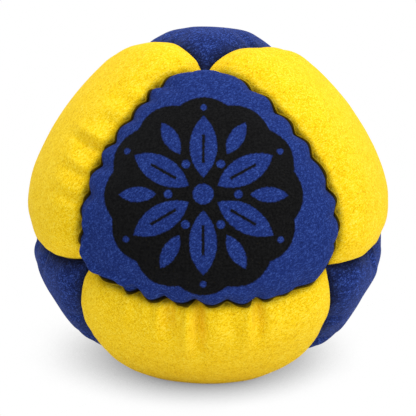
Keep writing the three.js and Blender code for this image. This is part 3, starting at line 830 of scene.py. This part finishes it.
def sheetTemplate():  # one panel's skin, with each vertex at its shares of the three corners
    work = bmesh.new()
    work.verts.layers.int.new("ring")
    work.verts.layers.float_vector.new("shares")
    ringLayer = work.verts.layers.int["ring"]
    sharesLayer = work.verts.layers.float_vector["shares"]
    cutTriangle(work, ((1, 0, 0), (0, 1, 0), (0, 0, 1)), sheetGrid["steps"])
    for vert in work.verts:
        vert[sharesLayer] = vert.co
    rim = [edge for edge in work.edges if edge.is_boundary]
    for ring in (sewnEdge, rawOutside, rawInside, liningRoot):
        made = bmesh.ops.extrude_edge_only(work, edges=rim)["geom"]
        for vert in (item for item in made if isinstance(item, bmesh.types.BMVert)):
            vert[ringLayer] = ring
            vert.co -= Vector((sheetGrid["ringStep"],) * 3)
        rim = [edge for edge in work.edges if edge.is_boundary]
    outerCount = len(work.verts)
    cutTriangle(work, ((1, 0, 0), (0, 0, 1), (0, 1, 0)), sheetGrid["liningSteps"])
    work.verts.ensure_lookup_table()
    for vert in work.verts[outerCount:]:
        vert[sharesLayer] = vert.co
        vert[ringLayer] = lining
        vert.co -= Vector((sheetGrid["liningDrop"],) * 3)
    bmesh.ops.bridge_loops(work, edges=[edge for edge in work.edges if edge.is_boundary])
    bmesh.ops.recalc_face_normals(work, faces=work.faces)
    return meshFrom(work, "panelTemplate")


def readAttribute(mesh, name, width, kind):
    values = np.empty(len(mesh.vertices) * width, dtype=kind)
    mesh.attributes[name].data.foreach_get("vector" if width > 1 else "value", values)
    return values.reshape(-1, width) if width > 1 else values


def makePanel(name, template, signs, look, material, slack):
    mesh = template.copy()
    mesh.name = name
    shares = readAttribute(mesh, "shares", 3, np.float32).astype(float)
    ring = readAttribute(mesh, "ring", 1, np.int32)
    points, pressed = panelPoints(np.clip(shares, 0, 1), ring, signs, look, slack)
    points = (restOnPlane(settle(points @ toPanel(signs).T)) + ballCentre) * millimetre
    # painted shade and soil by the seams, kept for the suede material
    pressedNap = mesh.attributes.new("pressedNap", "FLOAT", "POINT")
    pressedNap.data.foreach_set("value", pressed.astype(np.float32))
    mesh.vertices.foreach_set("co", points.astype(np.float32).ravel())
    if np.linalg.det(toPanel(signs)) < 0:
        mesh.flip_normals()
    mesh.attributes.remove(mesh.attributes["shares"])
    mesh.attributes.remove(mesh.attributes["ring"])
    mesh.shade_smooth()
    mesh.materials.append(material)
    mesh.update()
    return addObject(name, mesh)


def makePanels():
    template = sheetTemplate()
    print("panel template:", len(template.vertices), "vertices")
    suedes = {"blue": blueSuede(), "yellow": yellowSuede(), "printed": printedSuede()}
    reliefs = simulateSlack()
    for place, signs in signsOf.items():
        colour = "blue" if isBlue(signs) else "yellow"
        suede = suedes["printed" if place == "front" else colour]
        name = "suede_" + colour + "_" + place
        panel = makePanel(name, template, signs, looks[place], suede, reliefs.get(place))
        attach(panel, "root")
        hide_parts("panel_" + colour + "_" + place)
    bpy.data.meshes.remove(template)
    print("panels made")


# Pellets

pellets = {
    "width": 3.2,            # mm
    "length": 2.8,
    "sides": 8,
    "chamfer": 0.55,
    "spacing": 4.0,
    "clearOfSkin": 0.9,      # mm between the fill and the suede's inside
    "colours": ("#d9d6cb", "#f1efe8"),
    "cloudSize": 1.5,        # mm, of the milky clouding
    "pitDepth": 0.05,
    "seed": 3,
}


def mouldedPolyethylene():
    # Natural polyethylene granules, cut from a moulded strand: milky, with a waxy half gloss
    material, tree = newMaterial("granulatedPolyethylene")
    place = addNode(tree, "TexCoord", {}).outputs["Object"]
    cloud = addNode(tree, "TexNoise", {"Scale": perMillimetre(pellets["cloudSize"]), "Detail": 2.0},
                    {"Vector": place}).outputs["Fac"]
    bump = addNode(tree, "Bump", {"Strength": 0.3, "Distance": pellets["pitDepth"] * millimetre},
                   {"Height": cloud})
    colour = twoColours(tree, cloud, pellets["colours"])
    surface = addNode(tree, "BsdfPrincipled", {
        "Roughness": 0.42, "IOR": 1.51, "Subsurface Weight": 0.2, "Subsurface Scale": millimetre,
    }, {"Base Color": colour, "Normal": bump.outputs[0]})
    addNode(tree, "OutputMaterial", {}, {"Surface": surface.outputs[0]})
    return material


def granule():
    work = bmesh.new()
    half = pellets["width"] / 2 / math.cos(math.pi / pellets["sides"])
    bmesh.ops.create_cone(work, cap_ends=True, segments=pellets["sides"], radius1=half, radius2=half,
                          depth=pellets["length"])
    rims = [edge for edge in work.edges if abs(edge.verts[0].co.z - edge.verts[1].co.z) < tiny]
    bmesh.ops.bevel(work, geom=rims, offset=pellets["chamfer"], segments=1, affect="EDGES", profile=0.5,
                    material=-1)
    return meshFrom(work, "granule")


def packedPlaces():  # close-packed layers, kept where a whole granule is clear of skins and seams
    step = pellets["spacing"]
    row, layer = step * math.sqrt(3) / 2, step * math.sqrt(2 / 3)
    count = int(bag["radius"] / layer) + 1
    places = []
    for k in range(-count, count + 1):
        for j in range(-count, count + 1):
            for i in range(-count, count + 1):
                across = step * (i + 0.5 * (j % 2) + 0.5 * (k % 2))
                places.append((across, row * (j + (k % 2) / 3), layer * k))
    places = np.array(places)
    reach = 0.5 * math.hypot(pellets["width"], pellets["length"])
    corners = np.array([np.array(corner) for corner in frontCorners()])
    fromSeams = np.abs(places @ corners.T).min(axis=1)
    length = np.linalg.norm(places, axis=1)
    wall = bag["thickness"] + pellets["clearOfSkin"]
    skin = bag["radius"] * (1 + sag["waistSwell"] - sag["shoulderSlack"]) - wall
    deepest = bag["creaseDepth"] + bag["cornerDimple"] + bag["seamAllowance"]
    seamRoot = bag["radius"] - deepest - 2 * bag["thickness"]
    shoulder = np.clip((fromSeams - bag["innerInset"] - reach) / bluePanel["shoulder"], 0, 1)
    limit = seamRoot + (skin - seamRoot) * shoulder
    fits = (length + reach < limit) & (places[:, 2] - reach > restingPlane + wall)
    return places[fits]


def makePellets():
    random = np.random.default_rng(pellets["seed"])
    one = granule()
    count = len(one.vertices)
    work = bmesh.new()
    places = packedPlaces()
    for _ in places:
        work.from_mesh(one)
    work.verts.ensure_lookup_table()
    for index, place in enumerate(places):
        lie = Vector(random.normal(size=3)).to_track_quat("Z", "Y")
        there = Vector(place + ballCentre) * millimetre
        turn = Matrix.LocRotScale(there, lie, Vector((millimetre,) * 3))
        bmesh.ops.transform(work, matrix=turn, verts=work.verts[index * count:(index + 1) * count])
    mesh = meshFrom(work, "polyethylene_pellets")
    mesh.materials.append(mouldedPolyethylene())
    fill = addObject("polyethylene_pellets", mesh)
    bpy.data.meshes.remove(one)
    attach(fill, "root")
    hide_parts("pellet_fill")
    print("pellets made:", len(places))


# Thread

thread = {
    "colours": ("#14161c", "#2c303a"),
    "plyWidth": 0.35,        # mm
    "plyDepth": 0.06,
}


def twistedThread():
    # Bonded polyester sewing thread, three plies twisted: fine slanting grooves and a faint waxed gloss
    material, tree = newMaterial("twistedPolyesterThread")
    place = addNode(tree, "TexCoord", {}).outputs["Object"]
    plies = addNode(tree, "TexWave", {
        "wave_type": "BANDS", "bands_direction": "DIAGONAL", "Distortion": 0.6, "Detail": 1.0,
        "Scale": perMillimetre(thread["plyWidth"]) / (2 * math.pi)}, {"Vector": place}).outputs["Fac"]
    bump = addNode(tree, "Bump", {"Strength": 0.5, "Distance": thread["plyDepth"] * millimetre},
                   {"Height": plies})
    colour = twoColours(tree, plies, thread["colours"])
    surface = addNode(tree, "BsdfPrincipled", {"Roughness": 0.5, "IOR": 1.54, "Sheen Weight": 0.1},
                      {"Base Color": colour, "Normal": bump.outputs[0]})
    addNode(tree, "OutputMaterial", {}, {"Surface": surface.outputs[0]})
    return material


def finishThreads():
    material = twistedThread()
    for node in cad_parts:
        if node.startswith("thread_"):
            for slot in bpy.data.objects[node].material_slots:
                slot.material = material
    print("threads finished")


# Studio

studio = {
    "cameraDistance": 165.0,  # mm from the ball's centre
    "cameraAzimuth": 0.5,     # degrees to the right of the front
    "cameraElevation": 12.4,
    "aimDrop": 0.62,          # mm below the ball's centre
    "focalLength": 91.5,
    "sensorWidth": 36.0,
    "nearClip": 5.0,          # mm
    "worldLevel": 0.64,
    "floorColour": "#f0f0f0",
    "shadowLean": (0.12, -0.45, 0.88),  # the paper is lit from in front, a little from the right
    "shadowReach": 90.0,
    "shadowFoot": 0.03,       # the share of open sky that looks black, and the share that looks white
    "shadowTop": 0.6,
    "floorSize": 4000.0,
}

softBoxes = {                # place and width in mm, and power in watts
    "keyLight": ((230, -240, 420), 420, 1.0),
    "sideLight": ((420, -260, 160), 260, 0.4),
    "topLight": ((-70, 40, 450), 300, 0.85),
}


def makeCamera():
    camera = addObject("camera", bpy.data.cameras.new("camera"))
    camera.data.lens = studio["focalLength"]
    camera.data.sensor_width = studio["sensorWidth"]
    camera.data.clip_start = studio["nearClip"] * millimetre
    azimuth, elevation = math.radians(studio["cameraAzimuth"]), math.radians(studio["cameraElevation"])
    aim = Vector(ballCentre - [0, 0, studio["aimDrop"]])
    back = Vector((math.sin(azimuth) * math.cos(elevation), -math.cos(azimuth) * math.cos(elevation),
                   math.sin(elevation)))
    camera.location = (aim + back * studio["cameraDistance"]) * millimetre
    camera.rotation_euler = back.to_track_quat("Z", "Y").to_euler()
    bpy.context.scene.camera = camera


def softBox(name, place, size, power):
    lamp = addObject(name, bpy.data.lights.new(name, "AREA"))
    lamp.data.shape = "DISK"
    lamp.data.size = size * millimetre
    lamp.data.energy = power
    lamp.location = Vector(place) * millimetre
    towards = lamp.location - Vector(ballCentre) * millimetre
    lamp.rotation_euler = towards.to_track_quat("Z", "Y").to_euler()


def seenDirectly(tree):  # 1 for the camera, and for rays that metal or glass would send on
    path = addNode(tree, "LightPath", {}).outputs
    first = addMath(tree, "MAXIMUM", path["Is Camera Ray"], path["Is Glossy Ray"])
    return addMath(tree, "MAXIMUM", first, path["Is Transmission Ray"])


def makeWorld():
    world = bpy.data.worlds.new("studio")
    bpy.context.scene.world = world
    world.use_nodes = True
    tree = world.node_tree
    tree.nodes.clear()
    strength = addNode(tree, "MapRange", {"To Min": studio["worldLevel"], "To Max": 1.0},
                       {"Value": seenDirectly(tree)})
    light = addNode(tree, "Background", {"Color": (1, 1, 1, 1)}, {"Strength": strength.outputs[0]})
    addNode(tree, "OutputWorld", {}, {"Surface": light.outputs[0]})


def paperMaterial():
    # Matt white seamless paper, calendered: even and without gloss
    material, tree = newMaterial("mattSeamlessPaper")
    lit = addNode(tree, "BsdfDiffuse", {"Color": linearColour(studio["floorColour"])})
    turned = addNode(tree, "CombineXYZ", dict(enumerate(studio["shadowLean"])))
    sky = addNode(tree, "AmbientOcclusion", {"Distance": studio["shadowReach"] * millimetre},
                  {"Normal": turned.outputs[0]}).outputs["AO"]
    level = addNode(tree, "MapRange", {
        "From Min": studio["shadowFoot"], "From Max": studio["shadowTop"]}, {"Value": sky}).outputs[0]
    shown = addNode(tree, "Emission", {"Color": (1, 1, 1, 1)}, {"Strength": level})
    surface = addNode(tree, "MixShader", {}, {
        0: seenDirectly(tree), 1: lit.outputs[0], 2: shown.outputs[0]})
    addNode(tree, "OutputMaterial", {}, {"Surface": surface.outputs[0]})
    return material


def makeFloor():
    work = bmesh.new()
    bmesh.ops.create_grid(work, x_segments=1, y_segments=1, size=studio["floorSize"] / 2 * millimetre)
    mesh = meshFrom(work, "floor")
    mesh.materials.append(paperMaterial())
    floor = addObject("floor", mesh)


makeCamera()
makeWorld()
makeFloor()
for name, (place, size, power) in softBoxes.items():
    softBox(name, place, size, power)
bpy.context.scene.view_settings.view_transform = "Standard"
print("studio made")

makePanels()
makePellets()
finishThreads()
